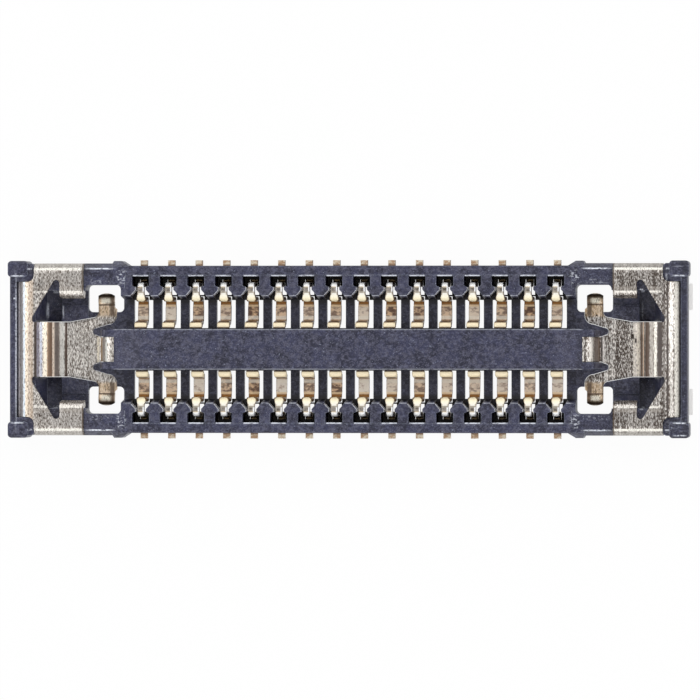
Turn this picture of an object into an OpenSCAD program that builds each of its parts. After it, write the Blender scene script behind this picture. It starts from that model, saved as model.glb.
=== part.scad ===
// Fine-pitch receptacle for a flexible circuit or a board, in millimetres.
// X runs along the two rows of contacts, Y across them and Z away from the board.
// The origin is the middle of the housing, on the surface of the board.

/* [Contact rows] */
// Contacts in each of the two rows
contacts_per_row = 16; // [4:1:28]
// Distance from one contact to the next
pitch = 0.35; // [0.34:0.01:0.50]

/* [Housing] */
// Width of the island between the rows
island_w = 0.512; // [0.46:0.01:0.80]
// Clear width of each channel between the island and a side wall
channel_w = 0.417; // [0.40:0.01:0.55]
// Thickness of each side wall along the contacts
side_wall_t = 0.383; // [0.36:0.01:0.60]
// Height of the side walls and of the island above the board
body_h = 0.56; // [0.50:0.01:0.80]
// Thickness of the floor
floor_t = 0.12; // [0.10:0.01:0.16]
// How far the foot of a side wall stands into the channel
wall_foot = 0.04; // [0.02:0.005:0.045]
// Width of the outer strip along the top of a side wall
outer_strip_w = 0.116; // [0.09:0.002:0.118]
// Step down from that strip to the ribs between the pockets
rib_drop = 0.012; // [0.004:0.001:0.02]
// Width of each contact pocket in a side wall
pocket_w = 0.218; // [0.20:0.005:0.24]
// Depth of each contact pocket, from the channel into the side wall
pocket_depth = 0.25; // [0.22:0.01:0.30]
// How much wider each side of a pocket is where it meets the channel
pocket_flare = 0.02; // [0.005:0.005:0.03]
// Gap between the two guides that narrow a pocket beside the contact's neck
guide_gap = 0.136; // [0.125:0.001:0.16]
// Width of the slot across the channel under each contact
slot_w = 0.24; // [0.22:0.005:0.25]
// Width of the sill that parts the two slots under a contact
sill_w = 0.065; // [0.04:0.005:0.07]
// Chamfer along the top edges
edge_chamfer = 0.014; // [0.005:0.001:0.025]
// Wall between the last pocket and the window beside it
end_post_w = 0.141; // [0.12:0.01:0.25]
// How much further out the side walls stand beyond the contact rows
wall_step = 0.031; // [0.02:0.005:0.06]
// How much further out the shoulder at the end of the contact rows stands
shoulder_step = 0.031; // [0.02:0.005:0.06]
// Height of the slope along the outer top edge of the side wall ends
outer_slope_h = 0.12; // [0.08:0.01:0.16]
// Width of the slope along the outer top edge of the side wall ends
outer_slope_w = 0.070; // [0.04:0.005:0.10]

/* [Windows] */
// Length of each window through the floor
window_l = 0.454; // [0.40:0.01:0.60]
// Width of each window through the floor
window_w = 0.341; // [0.32:0.01:0.36]
// How far each window cuts into the side wall
window_bite = 0.141; // [0.10:0.01:0.18]
// Radius of the window corners
window_r = 0.055; // [0.02:0.005:0.08]

/* [Housing ends] */
// Thickness of the plastic strip outside each end band
end_strip_t = 0.085; // [0.06:0.005:0.15]
// Height of that strip above the board
end_strip_h = 0.53; // [0.48:0.01:0.58]
// Height of the corner blocks above the board
corner_h = 0.60; // [0.57:0.01:0.80]
// Length of each corner block
corner_l = 0.25; // [0.20:0.01:0.35]
// Width of each corner block
corner_w = 0.203; // [0.16:0.01:0.25]
// How far a corner block stands out beyond the end strip
corner_proud = 0.02; // [0.01:0.005:0.05]
// How far a corner block stands out beyond the side wall's end
corner_side_proud = 0.031; // [0.01:0.001:0.05]
// Radius of the corner blocks seen from above
corner_r = 0.045; // [0.02:0.005:0.07]
// Length of the lower block inside each corner
inner_block_l = 0.076; // [0.05:0.005:0.12]
// How much wider that lower block is than the corner block
inner_block_w = 0.056; // [0.03:0.002:0.08]
// Radius of the lower block's inner corner
inner_block_r = 0.08; // [0.03:0.005:0.10]
// Height of the floor ledge beside each floor plate
ledge_h = 0.15; // [0.13:0.01:0.20]

/* [Signal contact] */
// Thickness of the contact strip
contact_t = 0.06; // [0.045:0.005:0.07]
// Width of the solder tail
tail_w = 0.095; // [0.08:0.005:0.13]
// Width of the neck at the top of the contact
neck_w = 0.09; // [0.08:0.002:0.11]
// Width of the inner leg
leg_w = 0.134; // [0.12:0.002:0.16]
// Width of the flat across the channel
flat_w = 0.14; // [0.12:0.005:0.15]
// Width of the lip beside the island
lip_w = 0.163; // [0.155:0.002:0.20]
// How far the tails reach out beyond the side walls
tail_reach = 0.074; // [0.05:0.005:0.20]
// How far the contact's top lies below the side wall's top
contact_drop = 0.06; // [0.03:0.01:0.12]
// How far the lip's crown lies below the side wall's top
lip_drop = 0.14; // [0.10:0.01:0.20]
// Gap under the flat
flat_lift = 0.06; // [0.04:0.01:0.08]
// How far the inner leg stands out of the side wall into the channel
leg_proud = 0.068; // [0.04:0.005:0.08]
// Gap between the outer leg and the back of its pocket
back_gap = 0.076; // [0.06:0.005:0.09]
// Gap between the lip and the island
lip_gap = 0.022; // [0.015:0.001:0.03]
// Sideways lean of the lip
lip_lean = 0.014; // [0:0.002:0.016]

/* [End fitting] */
// Thickness of the fitting's sheet
sheet_t = 0.08; // [0.06:0.005:0.09]
// Height of the fitting's top above the board
fitting_h = 0.60; // [0.57:0.01:0.80]
// Half the width of the tongue
tongue_hw = 0.345; // [0.32:0.005:0.36]
// Length of the floor plate
plate_l = 0.408; // [0.38:0.01:0.60]
// Half the width of the floor plate beside the arms
plate_hw = 0.40; // [0.38:0.005:0.42]
// Run of the tongue from the floor plate to the top
tongue_run = 0.345; // [0.33:0.005:0.45]
// Width of the flat part of the end band
band_flat = 0.07; // [0.05:0.01:0.16]
// Outer radius of the end band's bend
band_r = 0.185; // [0.15:0.005:0.20]
// Length of the rolled part of each ear
ear_roll_l = 0.30; // [0.20:0.01:0.32]
// Width of each arm
arm_w = 0.205; // [0.16:0.005:0.24]
// Half the width of the tab on the island's end
tab_hw = 0.155; // [0.12:0.005:0.17]
// Length of the flat part of that tab
tab_flat = 0.035; // [0.02:0.005:0.06]
// Nearest edge of each foot to the middle line
foot_in = 0.50; // [0.45:0.01:0.60]
// Width of each foot
foot_w = 0.33; // [0.25:0.01:0.35]
// How far the feet reach out beyond the end strip
foot_reach = 0.05; // [0.03:0.005:0.15]
// Radius of the relief notches beside the tab
notch_r = 0.05; // [0.03:0.005:0.055]

/* [Hidden] */
// Clearance between metal and plastic where they don't hold each other
gap = 0.006;
// Degrees turned by one facet of a bend
bend_step = 15;
// How far a cutting solid runs past the face that it cuts
past = 0.05;
// How far the ears' rolled edges stand out of the side walls into the channels
skirt_proud = 0.013;
// Distance from the middle of an arm to the floor plate's inner edge
plate_set = 0.085;
// Distance from a window to the ear beside it
ear_set = 0.019;

function contact_name(row, i) = str("contact_", row, i < 10 ? "0" : "", i);

plastic_colour = [0.13, 0.13, 0.17];
fitting_colour = [0.74, 0.70, 0.61];
contact_colour = [0.86, 0.69, 0.38];

// Lines across the part, from the middle outwards
island_y = island_w / 2;
wall_in_y = island_y + channel_w;
wall_out_y = wall_in_y + side_wall_t;
pocket_out_y = wall_in_y + pocket_depth;
end_out_y = wall_out_y + wall_step;
shoulder_y = end_out_y + shoulder_step;
window_out_y = wall_in_y + window_bite;
window_in_y = window_out_y - window_w;
skirt_in_y = wall_in_y - skirt_proud;
strip_in_y = wall_out_y - outer_strip_w;
rib_top = body_h - rib_drop;

// Lines along the part, from the last contact outwards
last_x = (contacts_per_row - 1) * pitch / 2;
window_in_x = last_x + pocket_w / 2 + end_post_w;
window_out_x = window_in_x + window_l;
arm_x = (window_in_x + window_out_x) / 2;
plate_in_x = arm_x + plate_set;
plate_out_x = plate_in_x + plate_l;
crease_x = plate_out_x + tongue_run;
bend_x = crease_x + band_flat;
band_out_x = bend_x + band_r;
strip_in_x = band_out_x + gap;
wall_out_x = strip_in_x + end_strip_t;
corner_out_x = wall_out_x + corner_proud;
corner_in_x = corner_out_x - corner_l;
block_in_x = corner_in_x - inner_block_l;
ear_in_x = window_out_x + ear_set;
ear_out_x = block_in_x - gap;
roll_out_x = ear_in_x + ear_roll_l;
foot_out_x = wall_out_x + foot_reach;

// Lines across the corners
corner_out_y = end_out_y + corner_side_proud;
corner_in_y = corner_out_y - corner_w;
block_in_y = corner_in_y - inner_block_w;
band_y = block_in_y + inner_block_r;

// Heights of the bent sheet
sheet_top = fitting_h - sheet_t;
sheet_mid = fitting_h - sheet_t / 2;

// Points of an arc from angle a0 to angle a1
function arc(centre, r, a0, a1) =
    let (n = max(1, ceil(abs(a1 - a0) / bend_step)))
    [for (k = [0 : n]) centre + r * [cos(a0 + (a1 - a0) * k / n), sin(a0 + (a1 - a0) * k / n)]];

// A bent strip is walked along its middle line. Each move is a straight length, then a
// turn in degrees and the radius of the middle line in that turn. The walk gives the
// places that it passes, each with the direction there.
function left_of(a) = [-sin(a), cos(a)];
function turn_centre(p, a, turn, r) = p + sign(turn) * r * left_of(a);
function turn_place(p, a, turn, r, part) =
    let (b = a + turn * part)
    [turn_centre(p, a, turn, r) - sign(turn) * r * left_of(b), b];
function straight_end(p, a, length) = p + length * [cos(a), sin(a)];
function walk(p, a, moves, k = 0) =
    k == len(moves) ? [] :
    let (
        q = straight_end(p, a, moves[k][0]),
        turn = moves[k][1],
        r = moves[k][2],
        n = max(1, ceil(abs(turn) / bend_step)),
        bend = turn == 0 ? [] : [for (j = [1 : n]) turn_place(q, a, turn, r, j / n)],
        next = turn == 0 ? [q, a] : bend[len(bend) - 1]
    )
    concat(moves[k][0] > 0 ? [[q, a]] : [], bend, walk(next[0], next[1], moves, k + 1));
function strip_outline(start, a, moves, t) =
    let (places = concat([[start, a]], walk(start, a, moves)), last = len(places) - 1)
    concat([for (k = [0 : last]) places[k][0] + t / 2 * left_of(places[k][1])],
        [for (k = [last : -1 : 0]) places[k][0] - t / 2 * left_of(places[k][1])]);

// Upright prism with the outline given in plan
module plan_prism(points, z0, z1) {
    translate([0, 0, z0]) linear_extrude(z1 - z0) polygon(points);
}

// Prism along X with its section given in Y and Z
module section_along_x(points, x0, x1) {
    translate([x0, 0, 0]) rotate([90, 0, 90]) linear_extrude(x1 - x0) polygon(points);
}

// Prism along Y with its section given in X and Z
module section_along_y(points, y0, y1) {
    translate([0, y1, 0]) rotate([90, 0, 0]) linear_extrude(y1 - y0) polygon(points);
}

// Box between two corners
module box(low, high) {
    translate(low) cube(high - low);
}

// Both sides of the middle line along X
module both_sides() {
    children();
    mirror([0, 1, 0]) children();
}

// Both ends of the part
module both_ends() {
    children();
    mirror([1, 0, 0]) children();
}

// Both flanks of a contact
module both_flanks() {
    children();
    mirror([1, 0, 0]) children();
}

function rounded_rectangle(x0, y0, x1, y1, r) = concat(
    arc([x1 - r, y1 - r], r, 0, 90), arc([x0 + r, y1 - r], r, 90, 180),
    arc([x0 + r, y0 + r], r, 180, 270), arc([x1 - r, y0 + r], r, 270, 360));

// Signal contact
contact_top = body_h - contact_drop;
top_mid = contact_top - contact_t / 2;
flat_mid = flat_lift + contact_t / 2;
foot_inner_r = 0.03;
outer_crown_inner_r = 0.004;
inner_crown_inner_r = 0.04;
heel_inner_r = 0.035;
lip_foot_inner_r = 0.015;
lip_inner_r = 0.005;
lip_turn = 110;
foot_r = contact_t / 2 + foot_inner_r;
outer_crown_r = contact_t / 2 + outer_crown_inner_r;
inner_crown_r = contact_t / 2 + inner_crown_inner_r;
heel_r = contact_t / 2 + heel_inner_r;
lip_foot_r = contact_t / 2 + lip_foot_inner_r;
lip_r = contact_t / 2 + lip_inner_r;
outer_leg_y = pocket_out_y - back_gap - contact_t / 2;
inner_leg_y = wall_in_y - leg_proud + contact_t / 2;
tail_end_y = wall_out_y + tail_reach;
lip_tip = (lip_r + contact_t / 2) * cos(lip_turn);
lip_leg_y = island_y + lip_gap - lip_tip + lip_r;
lip_crown_z = body_h - lip_drop - contact_t / 2;
contact_moves = [
    [tail_end_y - outer_leg_y - foot_r, -90, foot_r],
    [top_mid - outer_crown_r - contact_t / 2 - foot_r, 90, outer_crown_r],
    [outer_leg_y - outer_crown_r - inner_leg_y - inner_crown_r, 90, inner_crown_r],
    [top_mid - inner_crown_r - flat_mid - heel_r, -90, heel_r],
    [inner_leg_y - heel_r - lip_leg_y - lip_foot_r, -90, lip_foot_r],
    [lip_crown_z - lip_r - flat_mid - lip_foot_r, lip_turn, lip_r]
];
// Half width and sideways lean at each line across, from the tail to the lip
blend_l = 0.012;
function contact_stations() = [
    [tail_end_y + past, tail_w / 2, 0],
    [outer_leg_y + contact_t, tail_w / 2, 0],
    [outer_leg_y + contact_t / 2, neck_w / 2, 0],
    [inner_leg_y + inner_crown_r, neck_w / 2, 0],
    [inner_leg_y - contact_t / 2, leg_w / 2, 0],
    [inner_leg_y - heel_r, leg_w / 2, 0],
    [inner_leg_y - heel_r - blend_l, flat_w / 2, -lip_lean / 3],
    [lip_leg_y + lip_foot_r + blend_l, flat_w / 2, -lip_lean / 2],
    [lip_leg_y + lip_foot_r, lip_w / 2, -lip_lean],
    [island_y, lip_w / 2, -lip_lean]
];
lip_face_y = lip_leg_y + contact_t / 2;

module contact_strip() {
    stations = contact_stations();
    last = len(stations) - 1;
    plan = concat([for (k = [0 : last]) [stations[k][2] + stations[k][1], stations[k][0]]],
        [for (k = [last : -1 : 0]) [stations[k][2] - stations[k][1], stations[k][0]]]);
    difference() {
        intersection() {
            section_along_x(strip_outline([tail_end_y, contact_t / 2], 180, contact_moves,
                contact_t), -pitch / 2, pitch / 2);
            plan_prism(plan, -past, contact_top + past);
        }
        coined_spot();
        for (side = [-1, 1]) {
            lip_corner(side);
            lip_waist(side);
        }
    }
}

// Shallow coined spot on the contact's top
module coined_spot() {
    spot_w = 0.052;
    spot_depth = 0.008;
    spot_l = 0.068;
    spot_y = (inner_leg_y + inner_crown_r + outer_leg_y - outer_crown_r) / 2;
    box([-spot_w / 2, spot_y - spot_l / 2, contact_top - spot_depth],
        [spot_w / 2, spot_y + spot_l / 2, contact_top + past]);
}

// Wedge that crowns the lip's outer face
module lip_corner(side) {
    crown_l = 0.055;
    crown_w = 0.045;
    edge = side * lip_w / 2 - lip_lean;
    plan_prism([[edge + side * past, lip_face_y + past], [edge + side * past, lip_face_y - crown_w],
        [edge, lip_face_y - crown_w], [edge - side * crown_l / 3, lip_face_y - crown_w / 3],
        [edge - side * crown_l, lip_face_y], [edge - side * crown_l, lip_face_y + past]],
        flat_lift + contact_t + gap, body_h);
}

// The lip's leg is as narrow as the flat, and only its crown is wider
module lip_waist(side) {
    waist_top = lip_crown_z - lip_r;
    waist_x = side * flat_w / 2 - lip_lean;
    spread = (lip_w - flat_w) / 2;
    section_along_y([[waist_x, -past], [waist_x, waist_top - spread],
        [waist_x + side * (spread + past), waist_top + past],
        [waist_x + side * (spread + past), -past]], island_y, lip_leg_y + lip_foot_r);
}

// Row a lies on the +Y side and row b on the other, turned half round
module signal_contact(row, i) {
    x = (i - (contacts_per_row + 1) / 2) * pitch;
    color(contact_colour) translate([x, 0, 0]) rotate([0, 0, row == "a" ? 0 : 180])
        contact_strip();
}

// End fitting, built for the +X end
plate_mid = sheet_t / 2;
tab_angle = 80;
tab_proud = 0.012;
tab_top_r = sheet_t / 2 + 0.012;
tab_foot_r = sheet_t / 2 + 0.03;
tab_mid_z = body_h + tab_proud - sheet_t / 2;
tab_rise = (tab_mid_z - plate_mid - (tab_top_r + tab_foot_r) * (1 - cos(tab_angle)))
    / sin(tab_angle);
tab_moves = [
    [past, -tab_angle, tab_foot_r],
    [tab_rise, tab_angle, tab_top_r],
    [tab_flat, 0, 0]
];
tab_tip_x = plate_in_x - (tab_foot_r + tab_top_r) * sin(tab_angle)
    - tab_rise * cos(tab_angle) - tab_flat;

// The tongue rises steeply, then leans back to the band. Both straight lengths follow
// from the height and the run between floor plate and band.
steep = 75;
lean = 35;
tongue_foot_r = sheet_t / 2 + 0.07;
tongue_bend_r = sheet_t / 2 + 0.01;
tongue_w_left = tongue_run - tongue_foot_r * sin(steep)
    - tongue_bend_r * (sin(steep) - sin(lean)) - tongue_bend_r * sin(lean);
tongue_h_left = sheet_mid - plate_mid - tongue_foot_r * (1 - cos(steep))
    - tongue_bend_r * (cos(lean) - cos(steep)) - tongue_bend_r * (1 - cos(lean));
steep_length = (tongue_h_left * cos(lean) - tongue_w_left * sin(lean)) / sin(steep - lean);
lean_length = (tongue_w_left * sin(steep) - tongue_h_left * cos(steep)) / sin(steep - lean);
tongue_moves = [
    [past, steep, tongue_foot_r],
    [steep_length, lean - steep, tongue_bend_r],
    [lean_length, -lean, tongue_bend_r],
    [past, 0, 0]
];

module tab() {
    section_along_y(strip_outline([plate_in_x + past, plate_mid], 180, tab_moves, sheet_t),
        -tab_hw, tab_hw);
}

module tongue() {
    section_along_y(strip_outline([plate_out_x - past, plate_mid], 0, tongue_moves, sheet_t),
        -tongue_hw, tongue_hw);
}

// Floor plate with the flat roots of both arms, grown by g on every edge
arm_in_x = arm_x - arm_w / 2;
arm_out_x = arm_x + arm_w / 2;
arm_root_y = window_in_y + 0.06;
root_spread = 0.028;
root_ramp = 0.025;
root_in_x = arm_in_x - root_spread;
plate_edge_y = tongue_hw - 0.025;
arm_corner_r = 0.11;
arm_fillet_r = 0.07;
notch_reach = 0.089;
notch_x = plate_in_x + notch_reach - notch_r;
notch_y = tab_hw + notch_r + 0.021;
tab_root_x = plate_in_x - 0.03;
function half_plate(g) = concat(
    [[tab_root_x - g, -past], [tab_root_x - g, tab_hw + g], [notch_x - notch_r, tab_hw + g]],
    arc([notch_x, notch_y], notch_r - g, -90, 90),
    arc([root_in_x + arm_corner_r, plate_edge_y + arm_corner_r], arm_corner_r + g, 270, 180),
    [[root_in_x - g, arm_root_y - root_ramp], [arm_in_x - g, arm_root_y],
        [arm_in_x - g, arm_root_y + g], [arm_out_x + g, arm_root_y + g]],
    arc([arm_out_x + arm_fillet_r, plate_hw + arm_fillet_r], arm_fillet_r - g, 180, 260),
    [[plate_out_x - 0.02, tongue_hw + g], [plate_out_x + g, tongue_hw + g],
        [plate_out_x + g, -past]]);

module floor_plate(g, z0, z1) {
    both_sides() plan_prism(half_plate(g), z0, z1);
}

// Arm in the window: a sharp crease, a low hump and a curled end with a round outline
hump_y = window_in_y + 0.087;
hump_angle = 40;
curl_angle = 70;
arm_crease_r = sheet_t / 2 + 0.005;
hump_r = sheet_t / 2 + 0.008;
arm_moves = [
    [hump_y - arm_root_y + past, hump_angle, arm_crease_r],
    [0.01, -hump_angle - curl_angle, hump_r],
    [0.01, 0, 0]
];
arm_tip_y = hump_y + 0.153;
arm_tip_r = 0.18;
module arm() {
    side_y = arm_tip_y - arm_tip_r + sqrt(arm_tip_r * arm_tip_r - arm_w * arm_w / 4);
    half_turn = asin(arm_w / 2 / arm_tip_r);
    intersection() {
        section_along_x(strip_outline([arm_root_y - past, plate_mid], 0, arm_moves, sheet_t),
            arm_in_x, arm_out_x);
        plan_prism(concat([[arm_out_x, arm_root_y - past], [arm_out_x, side_y]],
            arc([arm_x, arm_tip_y - arm_tip_r], arm_tip_r, 90 - half_turn, 90 + half_turn),
            [[arm_in_x, side_y], [arm_in_x, arm_root_y - past]]), -past, body_h);
    }
}

// Flat top of the fitting: ears, gussets and band, with the cut-outs beside the tongue
cutout_r = 0.045;
cutout_apex_y = wall_in_y + 0.205;
cutout_foot_x = crease_x + 0.06;
cutout_foot_h = 0.065;
cutout_corner = 0.015;
module top_sheet() {
    apex = [roll_out_x + cutout_r, cutout_apex_y - cutout_r];
    both_sides() plan_prism(concat(
        [[crease_x, -past], [crease_x, tongue_hw], [cutout_foot_x - cutout_corner, tongue_hw],
            [cutout_foot_x, tongue_hw + cutout_corner], [cutout_foot_x, tongue_hw + cutout_foot_h]],
        arc(apex, cutout_r, 30, 180),
        [[roll_out_x, roll_y], [ear_in_x, roll_y], [ear_in_x, ear_bend_y],
            [ear_out_x, ear_bend_y], [ear_out_x, band_y], [bend_x, band_y], [bend_x, -past]]),
        sheet_top, fitting_h);
}

// Rolled inner edge of the ear, which guides the plug
roll_r = sheet_t / 2 + 0.005;
roll_y = skirt_in_y + sheet_t / 2 + roll_r;
roll_drop = 0.14;
roll_curl = 40;
roll_end = 0.02;
module ear_roll() {
    section_along_x(strip_outline([roll_y, sheet_mid], 180,
        [[0, 90, roll_r], [roll_drop, -roll_curl, roll_r], [roll_end, 0, 0]], sheet_t),
        ear_in_x, roll_out_x);
}

// Sloped outer side of the ear, with a tab that reaches the board
ear_slope = 62;
ear_bend_r = sheet_t / 2 + 0.01;
ear_slope_l = 0.079;
ear_bend_y = end_out_y - sheet_t / 2 - ear_bend_r - ear_slope_l * cos(ear_slope);
skirt_foot_z = 0.16;
function skirt_moves(foot_z) =
    let (drop = ear_bend_r + ear_slope_l * sin(ear_slope))
    [[0, -ear_slope, ear_bend_r], [ear_slope_l, ear_slope - 90, ear_bend_r],
        [sheet_mid - drop - foot_z, 0, 0]];
module ear_side() {
    side_tab_l = 0.26;
    tab_x = (ear_in_x + ear_out_x) / 2;
    section_along_x(strip_outline([ear_bend_y, sheet_mid], 0, skirt_moves(skirt_foot_z),
        sheet_t), ear_in_x, ear_out_x);
    section_along_x(strip_outline([ear_bend_y, sheet_mid], 0, skirt_moves(0), sheet_t),
        tab_x - side_tab_l / 2, tab_x + side_tab_l / 2);
}

// Rounded outer bend of the band, and the two feet that come down from it
band_mid_r = band_r - sheet_t / 2;
foot_bend_r = sheet_t / 2 + 0.01;
module end_band() {
    section_along_y(strip_outline([bend_x, sheet_mid], 0, [[0, -90, band_mid_r]], sheet_t),
        -band_y, band_y);
    both_sides() section_along_y(strip_outline([bend_x, sheet_mid], 0,
        [[0, -90, band_mid_r], [sheet_mid - band_mid_r - plate_mid - foot_bend_r, 90, foot_bend_r],
            [foot_out_x - band_out_x + sheet_t / 2 - foot_bend_r, 0, 0]], sheet_t),
        foot_in, foot_in + foot_w);
}

// Plan outline of the plastic block inside a corner, grown by g
block_hidden_x = corner_out_x - 0.1;
function block_outline(g) = concat([[block_hidden_x, block_in_y - g]],
    arc([block_in_x + inner_block_r, block_in_y + inner_block_r], inner_block_r + g, 270, 180),
    arc([block_in_x + corner_r, end_out_y - corner_r], corner_r + g, 180, 90),
    [[block_hidden_x, end_out_y + g]]);

module end_fitting() {
    color(fitting_colour) union() {
        tab();
        floor_plate(0, 0, sheet_t);
        tongue();
        difference() {
            union() {
                top_sheet();
                end_band();
            }
            both_sides() plan_prism(block_outline(gap), sheet_t + past, fitting_h + past);
        }
        both_sides() {
            arm();
            ear_roll();
            ear_side();
        }
    }
}

module end_fitting_right() {
    end_fitting();
}

module end_fitting_left() {
    mirror([1, 0, 0]) end_fitting();
}

// Housing
module side_walls() {
    c = edge_chamfer;
    section = [[wall_in_y - wall_foot, 0], [wall_out_y, 0], [wall_out_y, body_h - c],
        [wall_out_y - c, body_h], [strip_in_y, body_h], [strip_in_y - rib_drop / 2, rib_top],
        [wall_in_y + c, rib_top], [wall_in_y, rib_top - c], [wall_in_y - wall_foot, floor_t]];
    both_sides() section_along_x(section, -window_in_x, window_in_x);
}

function sloped_wall(in_y, out_y) = [[in_y, 0], [out_y, 0], [out_y, body_h - outer_slope_h],
    [out_y - outer_slope_w, body_h], [in_y + edge_chamfer, body_h],
    [in_y, body_h - edge_chamfer]];

// Side wall beside the window, outside the ear and under it
module side_wall_ends() {
    under_y = end_out_y - sheet_t - gap;
    section_along_x(sloped_wall(window_out_y - past, end_out_y),
        window_in_x - past, ear_in_x - gap);
    section_along_x([[skirt_in_y + sheet_t + gap, 0], [under_y, 0],
        [under_y, sheet_top - ear_slope_l], [ear_bend_y - gap, sheet_top],
        [skirt_in_y + sheet_t + gap, sheet_top]], ear_in_x - past, bend_x);
    shoulder();
}

// Shoulder where the side wall steps outwards
module shoulder() {
    shoulder_l = 0.095;
    ramp = 0.015;
    root_y = wall_out_y - 2 * past;
    intersection() {
        section_along_x(sloped_wall(wall_in_y + past, shoulder_y), window_in_x - shoulder_l,
            window_in_x + shoulder_l + ramp);
        plan_prism([[window_in_x - shoulder_l, wall_out_y], [window_in_x, shoulder_y],
            [window_in_x + shoulder_l, shoulder_y], [window_in_x + shoulder_l + ramp, end_out_y],
            [window_in_x + shoulder_l + ramp, root_y], [window_in_x - shoulder_l, root_y]],
            0, body_h);
    }
}

// Island. Its ends taper, stand on both sides of the tab and are rounded at the top.
prong_x = plate_in_x - 0.075;
prong_r = 0.05;
prong_taper_l = 0.12;
prong_taper_w = 0.018;
module island() {
    c = edge_chamfer;
    taper_x = prong_x - prong_taper_l;
    end_x = prong_x + (body_h - floor_t) / tan(tab_angle);
    end_hw = island_y - prong_taper_w;
    end_arc = arc([prong_x - prong_r * tan(tab_angle / 2), body_h - prong_r], prong_r,
        90 - tab_angle, 90);
    intersection() {
        section_along_x([[-island_y, 0], [island_y, 0], [island_y, body_h - c],
            [island_y - c, body_h], [c - island_y, body_h], [-island_y, body_h - c]], -end_x, end_x);
        both_ends() section_along_y(concat([[-past, 0], [end_x, 0], [end_x, floor_t]], end_arc,
            [[-past, body_h]]), -island_y, island_y);
        both_ends() both_sides() plan_prism([[-past, -past], [end_x, -past], [end_x, end_hw],
            [taper_x, island_y], [-past, island_y]], 0, body_h);
    }
}

// Room for the tab in the island's end
module tab_slot() {
    roomy = strip_outline([plate_in_x + past, plate_mid], 180, tab_moves, sheet_t);
    section_along_y(roomy, -tab_hw - gap, tab_hw + gap);
    section_along_y([[tab_tip_x, tab_mid_z], [tab_tip_x, body_h + past],
        [plate_in_x + past, body_h + past], [plate_in_x + past, plate_mid],
        [plate_in_x - tab_foot_r * sin(tab_angle), plate_mid + tab_foot_r]],
        -tab_hw - gap, tab_hw + gap);
}

// End wall under the band, with the strip outside it
end_core_x = crease_x + 0.02;
module end_wall() {
    shelf_z = fitting_h - band_r - gap;
    core = [[end_core_x, 0], [wall_out_x, 0], [wall_out_x, end_strip_h - edge_chamfer],
        [wall_out_x - edge_chamfer, end_strip_h], [strip_in_x, end_strip_h],
        [strip_in_x, shelf_z], [band_out_x - sheet_t - gap, shelf_z],
        [bend_x - gap, sheet_top], [end_core_x, sheet_top]];
    section_along_y(core, -corner_in_y, corner_in_y);
}

// Inner slope of the end wall beside the tongue
slope_foot_x = crease_x - 0.08;
module end_slopes() {
    slope_top_x = crease_x - 0.01;
    top_ramp_l = 0.03;
    both_sides() section_along_y([[slope_foot_x, 0], [end_core_x + past, 0],
        [end_core_x + past, sheet_top], [slope_top_x + top_ramp_l, sheet_top],
        [slope_top_x, sheet_top - 2 * top_ramp_l], [slope_foot_x, floor_t]],
        tongue_hw + 3 * gap, wall_in_y + sheet_t);
}

module corner_block() {
    chamfer = 2 * edge_chamfer;
    difference() {
        plan_prism(rounded_rectangle(corner_in_x, corner_in_y, corner_out_x, corner_out_y,
            corner_r), 0, corner_h);
        section_along_x([[corner_out_y - chamfer, corner_h + past],
            [corner_out_y - chamfer, corner_h], [corner_out_y, corner_h - chamfer],
            [corner_out_y + past, corner_h - chamfer], [corner_out_y + past, corner_h + past]],
            corner_in_x - past, corner_out_x + past);
    }
    plan_prism(block_outline(0), 0, body_h);
}

// Floor with the ledges beside the floor plates and the recess under each tongue
recess_x = plate_out_x + 0.07;
module floor_slab() {
    box([-wall_out_x, -corner_in_y, 0], [wall_out_x, corner_in_y, floor_t]);
    both_ends() both_sides() box([window_out_x, tongue_hw, 0], [recess_x, hump_y, ledge_h]);
}

module floor_recess() {
    recess_z = 0.06;
    both_ends() both_sides() box([recess_x, tongue_hw, recess_z],
        [slope_foot_x, skirt_in_y + sheet_t + gap, floor_t + past]);
}

module windows() {
    both_ends() both_sides() plan_prism(rounded_rectangle(window_in_x, window_in_y,
        window_out_x, window_out_y, window_r), -past, body_h + past);
}

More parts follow.
